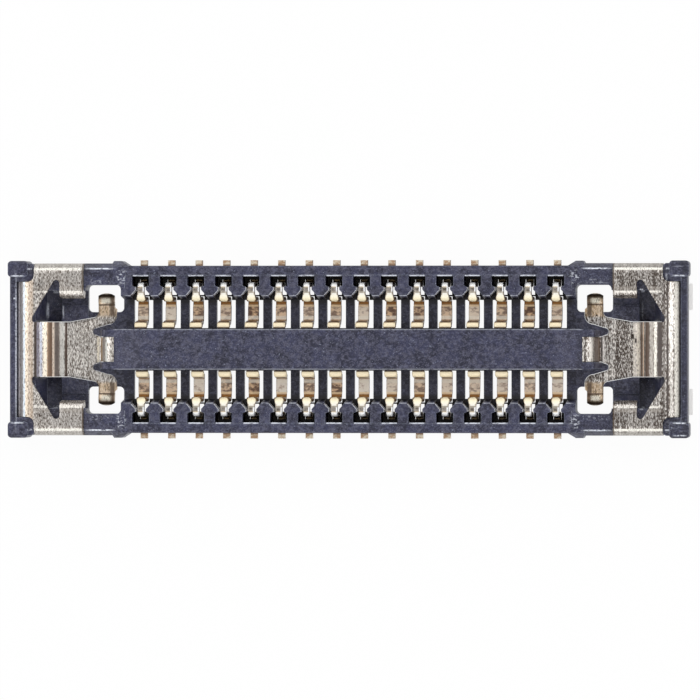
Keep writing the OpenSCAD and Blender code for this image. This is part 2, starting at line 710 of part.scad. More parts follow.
// Pocket, floor slots and tail notch for one contact of row a. The guides beside the neck
// narrow the pocket, and their corners open it again towards the channel.
flare_y = wall_in_y + 0.01;
guide_in_y = wall_in_y + 0.08;
guide_l = 0.035;
guide_ramp = 0.015;
module contact_room() {
    slot_in_y = island_y + edge_chamfer;
    slot_out_y = outer_leg_y - contact_t / 2 + 0.008;
    sill_out_y = wall_in_y + 0.017;
    sill_in_y = sill_out_y - sill_w;
    leg_room_y = outer_leg_y + foot_r + gap;
    leg_room_w = max(tail_w, neck_w) + 2 * gap;
    mouth_hw = pocket_w / 2 + pocket_flare;
    rim_y = pocket_out_y - past;
    both_flanks() plan_prism([[-past, wall_in_y - wall_foot - past],
        [mouth_hw, wall_in_y - wall_foot - past], [mouth_hw, flare_y],
        [guide_gap / 2, guide_in_y], [guide_gap / 2, guide_in_y + guide_l],
        [pocket_w / 2, guide_in_y + guide_l + guide_ramp], [pocket_w / 2, pocket_out_y],
        [-past, pocket_out_y]], floor_t, body_h + past);
    section_along_x([[rim_y, rib_top + past], [rim_y, rib_top - edge_chamfer],
        [pocket_out_y, rib_top - edge_chamfer], [pocket_out_y + edge_chamfer, rib_top],
        [pocket_out_y + edge_chamfer, rib_top + past]], -pocket_w / 2, pocket_w / 2);
    box([-slot_w / 2, slot_in_y, -past], [slot_w / 2, sill_in_y, floor_t + past]);
    box([-guide_gap / 2, sill_out_y, -past], [guide_gap / 2, slot_out_y, floor_t + past]);
    box([-leg_w / 2 - gap, sill_in_y - past, -past],
        [leg_w / 2 + gap, inner_leg_y + contact_t / 2 + gap, floor_t + past]);
    box([-leg_room_w / 2, slot_out_y - past, -past],
        [leg_room_w / 2, leg_room_y, floor_t + past]);
    box([-tail_w / 2 - gap, slot_out_y - past, -past],
        [tail_w / 2 + gap, wall_out_y + past, contact_t]);
}

module contact_rooms() {
    for (i = [1 : contacts_per_row])
        translate([(i - (contacts_per_row + 1) / 2) * pitch, 0, 0]) {
            contact_room();
            rotate([0, 0, 180]) contact_room();
        }
}

// Room for the end skirts, the feet and the floor plate
module fitting_room() {
    skirt_x = band_out_x - sheet_t - gap;
    foot_room_in_y = foot_in - gap;
    foot_room_out_y = foot_in + foot_w + gap;
    both_sides() {
        box([skirt_x, foot_room_in_y, -past], [strip_in_x, foot_room_out_y, fitting_h]);
        box([skirt_x, foot_room_in_y, -past], [foot_out_x, foot_room_out_y, sheet_t + 2 * gap]);
    }
    floor_plate(gap, -past, floor_t + past);
    box([plate_out_x - past, -tongue_hw - gap, -past],
        [end_core_x, tongue_hw + gap, body_h + past]);
}

module housing() {
    color(plastic_colour) difference() {
        union() {
            floor_slab();
            side_walls();
            both_ends() both_sides() side_wall_ends();
            island();
            both_ends() end_wall();
            both_ends() end_slopes();
            both_ends() both_sides() corner_block();
        }
        floor_recess();
        windows();
        contact_rooms();
        both_ends() tab_slot();
        both_ends() fitting_room();
    }
}

housing();
end_fitting_left();
end_fitting_right();
for (i = [1 : contacts_per_row])
    signal_contact("a", i);
for (i = [1 : contacts_per_row])
    signal_contact("b", i);
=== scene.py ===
# %% [markdown]
# # A fine-pitch receptacle, dressed for its portrait
# The part is a socket for a flexible circuit, less than nine millimetres long. Its solids
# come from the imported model, and this script only gives them their finish. It could start
# from nothing, but then the drawing and the picture could drift apart. Everything is in
# metres here, in the same frame as the solids, so a size from the drawing is multiplied
# by MM before it is used.

# %% Load the solids
import math

import bpy
import bmesh
from mathutils import Matrix, Vector


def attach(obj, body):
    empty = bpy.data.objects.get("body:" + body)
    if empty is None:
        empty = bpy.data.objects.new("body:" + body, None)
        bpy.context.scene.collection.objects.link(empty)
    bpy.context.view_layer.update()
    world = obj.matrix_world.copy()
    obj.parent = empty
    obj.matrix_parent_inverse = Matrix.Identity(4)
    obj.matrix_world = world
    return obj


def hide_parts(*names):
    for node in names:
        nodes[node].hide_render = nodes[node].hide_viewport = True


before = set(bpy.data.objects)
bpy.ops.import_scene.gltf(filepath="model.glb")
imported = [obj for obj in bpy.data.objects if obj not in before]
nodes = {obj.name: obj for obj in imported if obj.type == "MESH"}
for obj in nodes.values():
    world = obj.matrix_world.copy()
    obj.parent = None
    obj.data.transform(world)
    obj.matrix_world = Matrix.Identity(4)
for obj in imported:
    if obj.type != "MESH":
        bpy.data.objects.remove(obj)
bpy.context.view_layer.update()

MM = 0.001

# %% [markdown]
# ## Camera
# The photograph was taken from almost straight above with a long lens, tipped a few
# degrees towards +X, so the faces that look that way show. A long lens far away gives the
# same nearly parallel view. The lens length follows from the width that the frame has to
# cover, so no number has to be tried out.

# %% Camera
SENSOR = 36.0
CAMERA_AWAY = 110 * MM
VIEW_WIDTH = 8.872 * MM
CAMERA_TIP = math.radians(4.27)
CLIP_RANGE = 20
LOOK_AT = Vector((-0.011, -0.008, 0.0)) * MM

camera_data = bpy.data.cameras.new("camera")
camera_data.sensor_width = SENSOR
camera_data.lens = SENSOR * CAMERA_AWAY / VIEW_WIDTH
camera_data.clip_start = CAMERA_AWAY / CLIP_RANGE
camera_data.clip_end = CAMERA_AWAY * CLIP_RANGE
camera = bpy.data.objects.new("camera", camera_data)
bpy.context.scene.collection.objects.link(camera)
bpy.context.scene.camera = camera
back = Vector((math.sin(CAMERA_TIP), 0.0, math.cos(CAMERA_TIP)))
camera.location = LOOK_AT + back * CAMERA_AWAY
camera.rotation_euler = (0.0, CAMERA_TIP, 0.0)
print("lens:", round(camera_data.lens), "mm")

# %% [markdown]
# ## Expressions for materials
# A material is easier to read as a formula than as a list of nodes. The class below wraps
# one output socket. Adding or multiplying two of them adds the node that does it, a Math
# node for numbers and a Vector Math node for vectors, and mix adds a Mix node for colours.
# The same class serves the Geometry Nodes tree further on.

# %% One wrapped socket
class Sock:
    """An output socket of a node tree, which can be used in an expression."""

    def __init__(self, tree, out):
        self.tree = tree
        self.out = out

    def is_number(self):
        """Whether the socket carries one number, and not a vector or a colour."""
        return self.out.type in ("VALUE", "INT")

    def add(self, kind, settings, values, give=0):
        """Adds a node: its settings first, then the values or links of its sockets."""
        made = self.tree.nodes.new(kind)
        for name, setting in settings.items():
            setattr(made, name, setting)
        for name, value in values.items():
            put(self.tree, made.inputs[name], value)
        return Sock(self.tree, made.outputs[give])

    def math(self, operation, *values):
        """An operation on numbers: the socket itself only names the tree."""
        return self.add("ShaderNodeMath", {"operation": operation}, dict(enumerate(values)))

    def vector(self, operation, *values, give=0):
        """An operation on vectors, which gives a vector or, for a dot product, a number."""
        return self.add("ShaderNodeVectorMath", {"operation": operation},
            dict(enumerate(values)), give)

    def both(self, operation, a, b):
        """Numbers stay numbers, and a number that meets a vector counts on all three axes."""
        if all(isinstance(v, (int, float)) or v.is_number() for v in (a, b)):
            return self.math(operation, a, b)
        return self.vector(operation, triple(a), triple(b))

    def __add__(self, other):
        return self.both("ADD", self, other)

    __radd__ = __add__

    def __sub__(self, other):
        return self.both("SUBTRACT", self, other)

    def __rsub__(self, other):
        return self.both("SUBTRACT", other, self)

    def __mul__(self, other):
        return self.both("MULTIPLY", self, other)

    __rmul__ = __mul__

    def __truediv__(self, other):
        return self.both("DIVIDE", self, other)

    def __pow__(self, other):
        return self.math("POWER", self, other)

    def absolute(self):
        """The number without its sign."""
        return self.math("ABSOLUTE", self)

    def over(self, edge, soft):
        """0 below edge and 1 above it, with a soft step in between."""
        return self.add("ShaderNodeMapRange", {"interpolation_type": "SMOOTHSTEP"},
            {"Value": self, "From Min": edge - soft, "From Max": edge + soft})

    def ramp(self, low, high, to_low=0.0, to_high=1.0):
        """to_low at low and to_high at high, straight in between and level outside."""
        return self.add("ShaderNodeMapRange", {},
            {"Value": self, "From Min": low, "From Max": high,
             "To Min": to_low, "To Max": to_high})

    def mix(self, a, b):
        """Colour a where this number is 0 and colour b where it is 1."""
        made = self.tree.nodes.new("ShaderNodeMix")
        made.data_type = "RGBA"
        put(self.tree, made.inputs[0], self)
        put(self.tree, made.inputs[6], a)
        put(self.tree, made.inputs[7], b)
        return Sock(self.tree, made.outputs[2])

    def part(self, axis):
        """X, Y or Z of a vector."""
        split = self.tree.nodes.new("ShaderNodeSeparateXYZ")
        put(self.tree, split.inputs[0], self)
        return Sock(self.tree, split.outputs[axis])


def triple(value):
    """A number as a vector, and a socket as it is."""
    return (value,) * 3 if isinstance(value, (int, float)) else value


def put(tree, socket, value):
    """Sets a socket to a value, or links it."""
    if isinstance(value, Sock):
        tree.links.new(value.out, socket)
    elif socket.type == "RGBA":
        socket.default_value = (*value, 1.0)
    else:
        socket.default_value = value


# %% A new material
def new_material(name):
    """A new material, the place on its piece in millimetres, and its shader node."""
    material = bpy.data.materials.new(name)
    material.use_nodes = True
    tree = material.node_tree
    shader = next(n for n in tree.nodes if n.type == "BSDF_PRINCIPLED")
    where = tree.nodes.new("ShaderNodeTexCoord")
    place = Sock(tree, where.outputs["Object"]) * (1 / MM)
    return material, place, shader


def measured(place):
    """X, the size of X, the size of Y, and Z: most masks are made from these four."""
    along = place.part("X")
    return along, along.absolute(), place.part("Y").absolute(), place.part("Z")


def dress(piece, material):
    """Gives every face of a piece the same material."""
    piece.data.materials.clear()
    piece.data.materials.append(material)


# %% Noise and relief
def noise(place, scale, detail=2.0, roughness=0.5):
    """Cloudy noise from 0 to 1, with about scale clouds in a millimetre."""
    return place.add("ShaderNodeTexNoise", {}, {"Vector": place, "Scale": scale,
        "Detail": detail, "Roughness": roughness})


def stretched(place, x, y, z):
    """The place with each axis scaled, for grain that runs one way."""
    return place.vector("MULTIPLY", place, (x, y, z))


def relief(pattern, strength, depth, **more):
    """A normal that follows a pattern as if it were cut this deep, in millimetres."""
    return pattern.add("ShaderNodeBump", {}, {"Strength": strength, "Distance": depth * MM,
        "Height": pattern, **more})


# %% [markdown]
# ## Masks
# A mask is a number that is 1 on one part of the surface and 0 elsewhere. The place is
# known in millimetres, so a region of the drawing becomes a mask by comparing the place
# with the drawing's own numbers. Wear, painted highlights and painted shade are then laid
# on through masks, one layer after another, as a model maker lays on thin paint.

# %% Masks and layers
LINE_SOFT = 0.35
EDGE_SAMPLES = 6


def facing_of(place):
    """The way a face looks, as a vector of length one."""
    return place.add("ShaderNodeNewGeometry", {}, {}, "Normal")


def rounded_facing(place, radius):
    """The same, but turned near an edge as if the edge had this radius."""
    return place.add("ShaderNodeBevel", {"samples": EDGE_SAMPLES}, {"Radius": radius * MM})


def near_edge(place, radius):
    """About 0 on flat faces and towards 1 where an edge is nearer than the radius."""
    return 1.0 - place.vector("DOT_PRODUCT", rounded_facing(place, radius), facing_of(place),
        give="Value")


def line_at(value, where, half_width):
    """1 where the value is within half_width of a place, with soft ends."""
    away = (value - where).absolute()
    return away.ramp(half_width * (1.0 - LINE_SOFT), half_width * (1.0 + LINE_SOFT), 1.0, 0.0)


def laid(colour, *layers):
    """A colour under layers: each has a mask and a colour, and the last one lies on top."""
    for mask, tint in layers:
        colour = mask.mix(colour, tint)
    return colour


def striped(colour, cover, value, mask, stripes):
    """Lays stripes on a colour: each has a place, a half width, a share and a colour."""
    for where, half_width, share, tint in stripes:
        stripe = line_at(value, where, half_width) * mask * share
        colour = stripe.mix(colour, tint)
        cover = cover.math("MAXIMUM", cover, stripe)
    return colour, cover


def spotted(place, spots):
    """Small soft patches of the plan: each has x, y, both half sizes and a share."""
    x, y = place.part("X"), place.part("Y")
    total = 0.0
    for at_x, at_y, half_x, half_y, share in spots:
        total = line_at(x, at_x, half_x) * line_at(y, at_y, half_y) * share + total
    return total


def mirrored(spots):
    """The same patches in all four corners of the part."""
    return [(at_x * i, at_y * j, half_x, half_y, share)
        for at_x, at_y, half_x, half_y, share in spots for i in (-1, 1) for j in (-1, 1)]


# %% [markdown]
# ## Black plastic
# The housing is moulded from a glass-filled polymer, which is nearly black but scatters a
# little blue. Its skin isn't even: the glass shows as pale specks and short scratches, and
# the edges are painted paler as a painted highlight. A painted image could show all that,
# but it would blur from near by. Here each of these is a noise of its own size, which only
# shifts the colour and the roughness, so that the plastic stays one material. Painted
# highlights on its edges and ridges, and a few scuffs, sit where they do on the real part,
# as small patches of the plan. The channel, the foot of the ribs and the right-hand end are
# painted darker as painted shade.

# %% Black plastic: regions
PITCH = 0.35

plastic, place, shader = new_material("black_plastic")
along, reach, across, height = measured(place)
facing = facing_of(place)

# On a place or a height, a ramp's two numbers are the drawing's millimetres: the mask is 0
# at the first of them and 1 at the second
on_top = height.ramp(0.40, 0.45)
middle = reach.ramp(2.86, 2.80)
on_island = reach.ramp(2.98, 2.94)
island_end = on_island * reach.ramp(2.55, 2.75) * across.ramp(0.262, 0.254)
island_edge = on_island * on_top * line_at(across, 0.252, 0.007)
# The channel floor and the foot of the ribs are painted darker as painted shade
channel = middle * height.ramp(0.45, 0.30) * across.ramp(0.95, 0.93)
shade_under_rib = channel * across.ramp(0.55, 0.60)
rib_flank = (middle * facing.part("X").absolute().ramp(0.5, 0.7) * height.ramp(0.16, 0.22)
    * across.ramp(0.680, 0.695) * across.ramp(0.810, 0.800))
upper_edge = middle * facing.part("Z").ramp(0.15, 0.40) * height.ramp(0.45, 0.50)

# A wave of one pitch tells the pockets, where it is low, from the ribs between them
over_pocket = along.math("COSINE", along * (math.tau / PITCH)).ramp(0.25, 0.05)
# The right-hand end, and the tops from the right shoulder on, are painted darker as painted shade
shaded_right_end = along.ramp(3.9, 4.0) + along.ramp(2.84, 2.90) * on_top * 0.7
shaded_right_end = shaded_right_end.math("MINIMUM", shaded_right_end, 1.0)
print("nodes for the plastic's regions:", len(plastic.node_tree.nodes))

# %% Black plastic: patterns
cloud = noise(place, 5.0, 4.0, 0.6)
blotch = noise(place, 19.0, 2.0, 0.6)
grain = noise(place, 34.0, 3.0, 0.6)
fine = noise(place, 62.0, 1.0)
speck = noise(place, 42.0, 1.0).over(0.74, 0.02)
streak = noise(stretched(place, 18.0, 30.0, 30.0), 1.0, 3.0, 0.6)
scratch = noise(stretched(place, 26.0, 40.0, 30.0), 1.0, 2.0, 0.7)
# The edges are painted paler as a painted highlight
edge_highlight = near_edge(place, 0.014).ramp(0.04, 0.26)
print("nodes with the patterns:", len(plastic.node_tree.nodes))

# %% Black plastic: painted highlights and scuffs
# Each patch has x, y, both half sizes and a share
# The marks are painted highlights on edges and ridges; the scuffs are pale scuff marks
CORNER_HIGHLIGHTS = [(3.14, 1.02, 0.15, 0.009, 0.9), (4.185, 0.929, 0.07, 0.008, 0.7),
    (4.03, 1.016, 0.026, 0.010, 0.6)]
SINGLE_HIGHLIGHTS = [(4.17, 1.045, 0.05, 0.006, 0.15), (4.19, -1.085, 0.07, 0.008, 0.6),
    (4.02, 0.90, 0.012, 0.05, 0.5), (-4.229, 0.645, 0.010, 0.010, 1.0),
    (-4.205, 0.0, 0.012, 0.80, 0.5), (-3.737, 0.729, 0.040, 0.016, 0.6),
    (3.704, 0.743, 0.020, 0.020, 0.8), (-3.737, -0.729, 0.040, 0.016, 0.5),
    (-3.852, 0.49, 0.014, 0.09, 0.6), (-3.647, 0.48, 0.009, 0.07, 0.6),
    (3.704, -0.743, 0.020, 0.020, 0.4), (3.70, 0.49, 0.009, 0.09, 0.3)]
CORNER_SCUFFS = [(2.87, 0.91, 0.055, 0.08, 0.5), (3.14, 0.86, 0.14, 0.03, 0.2)]
SINGLE_SCUFFS = [(4.12, -0.98, 0.14, 0.09, 0.10), (4.12, 0.98, 0.12, 0.09, 0.05)]

marks = spotted(place, mirrored(CORNER_HIGHLIGHTS) + SINGLE_HIGHLIGHTS)
scuffs = spotted(place, mirrored(CORNER_SCUFFS) + SINGLE_SCUFFS)
# Painted highlight lines along the pockets' outer edges and the ribs' inner edges
outer_line = line_at(across, 0.928, 0.011) * over_pocket * 0.9
inner_line = line_at(across, 0.674, 0.009) * (1.0 - over_pocket) * 0.5
# Painted highlights on edges, ribs' flanks, the island's edges and patches, and the scuffs
glints_and_scuffs = (upper_edge * streak.ramp(0.30, 0.52) * (outer_line + inner_line) + rib_flank * 0.85
    + island_edge * streak.ramp(0.34, 0.50) * 0.3 + marks * grain.ramp(0.36, 0.52)
    + scuffs * scratch.ramp(0.52, 0.62))
print("patches on the plastic:", 4 * len(CORNER_HIGHLIGHTS + CORNER_SCUFFS)
    + len(SINGLE_HIGHLIGHTS + SINGLE_SCUFFS))

# %% Black plastic: surface
tree = plastic.node_tree
# Less paler mottling at the right-hand end, as part of its painted shade
lighter = (blotch.ramp(0.46, 0.64) + island_end * 0.35) * shaded_right_end.ramp(0.0, 1.0, 0.85, 0.25)
colour = laid(cloud.ramp(0.42, 0.58).mix((0.006, 0.006, 0.022), (0.024, 0.026, 0.064)),
    # Painted shade at the right-hand end
    (shaded_right_end * 0.45, (0.006, 0.006, 0.014)),
    (lighter, (0.068, 0.068, 0.106)),
    (fine.ramp(0.46, 0.34) * 0.6, (0.012, 0.012, 0.026)),
    (fine.ramp(0.56, 0.70) * 0.5, (0.118, 0.122, 0.178)),
    (streak.ramp(0.54, 0.72) * 0.7, (0.10, 0.105, 0.17)),
    (speck * 0.6, (0.26, 0.29, 0.38)),
    # Paler edges, a painted highlight
    (edge_highlight * grain.ramp(0.36, 0.56, 0.15, 0.9), (0.40, 0.44, 0.56)),
    # Painted shade at the foot of the ribs and in the channel
    (shade_under_rib * 0.9, (0.004, 0.003, 0.006)),
    (channel * 0.2, (0.004, 0.003, 0.008)),
    # Painted highlights and the scuffs, on top
    (glints_and_scuffs * 0.95, (0.86, 0.90, 1.0)))
put(tree, shader.inputs["Base Color"], colour)
put(tree, shader.inputs["Roughness"], grain.ramp(0.3, 0.7, 0.34, 0.50))
put(tree, shader.inputs["Normal"], relief(grain, 0.6, 0.003, Normal=rounded_facing(place, 0.008)))
print(plastic.name, "nodes:", len(tree.nodes))

# %% [markdown]
# ## Fitting metal
# The end fittings are copper alloy with a thin pale gold flash over nickel. The rolled
# sheet has a grain that runs across the part, and handling has left it mottled: patches
# a hundredth of a millimetre wide catch the light or stay brown. Polished bends mirror
# the lamps and the dark room in narrow stripes. A small part would need a huge studio to
# get them all from real reflections, so they are laid on as colour along each bend.

# %% Fitting metal: regions and patterns
nickel, place, shader = new_material("nickel_gold")
along, reach, across, _ = measured(place)
on_right = along.ramp(-0.1, 0.1)
on_end_band = across.ramp(0.90, 0.86)
on_ear = across.ramp(0.69, 0.73) * reach.ramp(3.99, 3.96)
on_tongue = across.ramp(0.352, 0.346) * reach.ramp(3.40, 3.42)
on_tab = across.ramp(0.162, 0.156) * reach.ramp(3.30, 3.28)
on_arm = across.ramp(0.40, 0.44) * reach.ramp(3.24, 3.22)
# The arms' humps take a painted highlight
hump_highlight = on_arm * line_at(reach, 3.108, 0.056) * line_at(across, 0.617, 0.034)
on_foot = reach.ramp(4.28, 4.29)
cloud = noise(place, 4.0, 3.0, 0.6)
grain = noise(stretched(place, 80.0, 26.0, 60.0), 1.0, 3.0, 0.65)
fleck = noise(stretched(place, 84.0, 28.0, 70.0), 1.0, 1.0)
brushed = noise(stretched(place, 34.0, 1.6, 4.0), 1.0, 2.0, 0.6) - 0.5
print("nodes for the metal's regions:", len(nickel.node_tree.nodes))

# %% Fitting metal: stripes and pits
# Each stripe has a place in millimetres, a half width, a share and a colour
# The stripes are painted reflections along the bends, pale where a bend mirrors the lamps and dark
# where it mirrors the room, and dark as painted shade in the creases and at edges
END_BAND_STRIPES = [(-4.180, 0.020, 0.9, (0.70, 0.66, 0.68)),
    (-4.138, 0.022, 0.9, (0.17, 0.16, 0.17)), (-4.100, 0.014, 0.8, (0.72, 0.82, 0.92)),
    (-4.066, 0.018, 0.6, (0.95, 0.78, 0.58)), (-4.015, 0.032, 0.6, (0.52, 0.38, 0.26)),
    (4.160, 0.034, 0.95, (0.85, 0.82, 0.74)), (4.085, 0.018, 0.5, (0.90, 0.86, 0.80)),
    (4.036, 0.013, 0.95, (0.06, 0.045, 0.04)), (3.994, 0.012, 0.7, (0.14, 0.12, 0.11))]
TONGUE_STRIPES = [(-3.954, 0.019, 1.0, (0.045, 0.03, 0.025)),
    (-3.920, 0.018, 0.8, (0.13, 0.12, 0.18)), (-3.885, 0.014, 0.8, (0.46, 0.50, 0.62)),
    (-3.836, 0.022, 0.95, (0.95, 0.86, 0.70)), (-3.804, 0.010, 0.8, (0.55, 0.34, 0.18)),
    (-3.778, 0.026, 1.0, (0.17, 0.10, 0.06)), (-3.742, 0.012, 1.0, (1.0, 0.84, 0.70)),
    (-3.712, 0.022, 0.9, (0.13, 0.10, 0.09)), (-3.664, 0.021, 1.0, (1.0, 0.99, 0.94)),
    (-3.618, 0.015, 1.0, (0.07, 0.035, 0.02)), (3.938, 0.030, 1.0, (0.08, 0.065, 0.06)),
    (3.882, 0.015, 1.0, (0.98, 0.94, 0.84)), (3.833, 0.024, 0.8, (0.50, 0.46, 0.41)),
    (3.776, 0.028, 1.0, (0.12, 0.08, 0.06)), (3.724, 0.009, 1.0, (0.90, 0.68, 0.50)),
    (3.696, 0.015, 1.0, (0.10, 0.045, 0.015)), (3.645, 0.022, 1.0, (1.0, 0.92, 0.80)),
    (3.600, 0.017, 1.0, (1.0, 0.93, 0.84))]
TAB_STRIPES = [(-3.208, 0.015, 1.0, (1.0, 0.92, 0.76)), (-3.158, 0.016, 0.9, (0.33, 0.20, 0.09)),
    (-3.112, 0.026, 0.9, (0.15, 0.12, 0.12)), (-3.060, 0.017, 0.9, (0.66, 0.67, 0.64)),
    (3.208, 0.011, 1.0, (1.0, 0.96, 0.93)), (3.182, 0.010, 0.9, (0.05, 0.035, 0.03)),
    (3.134, 0.026, 0.95, (0.10, 0.06, 0.04)), (3.152, 0.007, 0.7, (0.30, 0.20, 0.14)),
    (3.072, 0.020, 0.95, (0.92, 0.88, 0.82))]
EAR_STRIPES = [(1.067, 0.022, 0.5, (0.42, 0.40, 0.36)), (1.016, 0.015, 0.95, (0.95, 0.93, 0.85)),
    (0.770, 0.022, 0.5, (0.40, 0.36, 0.32)), (0.722, 0.017, 0.95, (0.95, 0.91, 0.84))]
EAR_END_STRIPES = [(3.357, 0.008, 0.9, (0.06, 0.035, 0.02))]
ARM_SIDE_STRIPES = [(3.030, 0.030, 0.8, (0.09, 0.05, 0.03)),
    (3.200, 0.012, 0.6, (0.16, 0.10, 0.06))]
ARM_END_STRIPES = [(0.563, 0.007, 0.9, (0.08, 0.04, 0.02)),
    (0.682, 0.020, 0.95, (0.05, 0.028, 0.012))]
# Each patch has x, y, both half sizes and a share
PITS = [(3.575, 0.16, 0.020, 0.030, 0.9), (3.615, 0.11, 0.014, 0.030, 0.9),
    (3.12, 0.43, 0.010, 0.010, 1.0), (3.03, 0.41, 0.010, 0.010, 0.9),
    (3.39, -0.10, 0.008, 0.16, 0.7)]
WORN_PATCHES = [(-3.90, 0.76, 0.055, 0.11, 0.7), (3.99, 0.78, 0.05, 0.15, 0.7),
    (-3.90, -0.76, 0.055, 0.11, 0.4), (3.99, -0.78, 0.05, 0.15, 0.6), (3.50, 0.0, 0.12, 0.36, 0.25)]
print("stripes on the bends:", len(END_BAND_STRIPES + TONGUE_STRIPES + TAB_STRIPES + EAR_STRIPES
    + EAR_END_STRIPES + ARM_SIDE_STRIPES + ARM_END_STRIPES))

# %% Fitting metal: surface
tree = nickel.node_tree
left_tone = grain.ramp(0.40, 0.58) + brushed * 1.6
right_tone = grain.ramp(0.47, 0.57) + brushed * 3.2
tone = left_tone * (1.0 - on_right) + right_tone * on_right
warm = on_right.mix(cloud.mix((0.20, 0.16, 0.13), (0.34, 0.31, 0.28)), (0.13, 0.105, 0.09))
pale = cloud.mix((0.98, 0.91, 0.83), (1.0, 0.98, 0.96))
colour = laid(tone.mix(warm, pale),
    (fleck.over(0.62, 0.04) * 0.8, (0.10, 0.08, 0.07)),
    # Painted shade over the ears, a little more on the right
    (on_ear * on_right.ramp(0.0, 1.0, 0.26, 0.30), (0.10, 0.085, 0.08)),
    (on_arm * 0.6, (0.80, 0.56, 0.32)))
cover = across * 0.0
for value, mask, stripes in (
        (along, on_end_band, END_BAND_STRIPES), (along, on_tongue, TONGUE_STRIPES),
        (along, on_tab, TAB_STRIPES), (across, on_ear, EAR_STRIPES),
        (reach, on_ear, EAR_END_STRIPES), (reach, on_arm, ARM_SIDE_STRIPES),
        (across, on_arm, ARM_END_STRIPES)):
    colour, cover = striped(colour, cover, value, mask, stripes)
cover = cover.math("MAXIMUM", cover, hump_highlight)
pits = spotted(place, PITS) + spotted(place, WORN_PATCHES) * grain.ramp(0.53, 0.47)
colour = laid(colour,
    # A painted highlight on the arms' humps
    (hump_highlight, (1.0, 0.94, 0.78)),
    (fleck.over(0.60, 0.05) * 0.6, (0.12, 0.09, 0.07)),
    (pits, (0.05, 0.035, 0.03)),
    (on_foot, (0.98, 0.97, 0.95)))
put(tree, shader.inputs["Base Color"], colour)
put(tree, shader.inputs["Metallic"], (cover + on_foot).ramp(0.0, 1.0, 1.0, 0.10))
put(tree, shader.inputs["Roughness"], grain.ramp(0.3, 0.7, 0.26, 0.44))
put(tree, shader.inputs["Normal"], relief(grain, 0.5, 0.004))
print(nickel.name, "nodes:", len(tree.nodes))

# %% [markdown]
# ## Contact gold
# The signal contacts are plated with real gold. The bulb, the crown's end, one side of the
# neck and the lip are painted cream and white as painted highlights, and the bends are
# painted orange and brown as painted reflections of the gold itself. The bend round the
# bulb, the lip's edges and one side of each strip in the first row are painted darker as
# painted shade. The gold is dull and dirty on the flat across the channel, where flux and
# dust settle, and near the lip the flat is painted paler as a painted highlight. No two
# contacts are equally dirty. To paint each by hand would mean thirty-two pictures, so each
# takes a random number from its place in the row instead, the same one on every run.

# %% Contact gold: regions
gold, place, shader = new_material("plated_gold")
along, _, across, height = measured(place)
row_side = across.math("SIGN", place.part("Y"))
in_row_a = row_side.ramp(-0.5, 0.5)
facing = facing_of(place)
sideways = facing.part("X")
outward = facing.part("Y") * row_side
number = along.math("FLOOR", along / PITCH) + row_side * 50.0
luck = number.add("ShaderNodeTexWhiteNoise", {"noise_dimensions": "1D"}, {"W": number}, "Value")
from_axis = (along.math("FRACT", along / PITCH) - 0.5) * PITCH

upper = height.ramp(0.40, 0.43)
above_flat = height.ramp(0.25, 0.30)
on_flat = across.ramp(0.335, 0.350) * across.ramp(0.60, 0.59) * height.ramp(0.20, 0.15)
on_lip = across.ramp(0.36, 0.345) * above_flat
# Painted shade on the lip's outer curl and along its front edge
lip_back_shade = across.ramp(0.42, 0.40) * above_flat * (outward + in_row_a * 0.18).ramp(0.84, 1.0)
lip_front_shade = on_lip * across.ramp(0.288, 0.279)
on_tail = across.ramp(1.06, 1.075)
tail_root = line_at(across, 1.066, 0.012)
# Painted highlights on the crown's end and one neck side, painted shade on row a's +X sides
tip = across.ramp(0.786, 0.800) * upper
side_highlight = line_at(from_axis, 0.032, 0.009) * across.ramp(0.72, 0.74) * upper
side_shade = sideways.ramp(0.40, 0.85) * in_row_a * 0.85

# The coined spot on the crown, and the rounded bulb with its neck beside it
in_spot = across.ramp(0.708, 0.718) * across.ramp(0.790, 0.782) * height.ramp(0.470, 0.480)
spot_pan = across.ramp(0.732, 0.742) * in_spot * height.ramp(0.4965, 0.4925)
round_bulb = ((from_axis / 0.058) ** 2.0 + ((across - 0.652) / 0.050) ** 2.0).ramp(1.15, 0.85)
neck = line_at(from_axis, 0.0, 0.036) * across.ramp(0.655, 0.665) * across.ramp(0.720, 0.710)
bulb = round_bulb.math("MAXIMUM", round_bulb, neck)
# Painted shade in the bend round the bulb
shade_around_bulb = across.ramp(0.595, 0.605) * across.ramp(0.715, 0.705)
print("nodes for the gold's regions:", len(gold.node_tree.nodes))

# %% Contact gold: surface
# Each stripe has a distance from the middle in millimetres, a half width, a share and a colour
# Painted: orange and brown at the heel as painted reflections, pale on the flat near the lip as a
# painted highlight, and dark at the lip's foot as painted shade
BEND_STRIPES = [(0.555, 0.014, 0.8, (1.0, 0.76, 0.46)), (0.585, 0.019, 1.0, (0.34, 0.15, 0.035)),
    (0.402, 0.022, 0.7, (1.0, 0.93, 0.80)), (0.363, 0.012, 0.7, (0.36, 0.19, 0.08))]

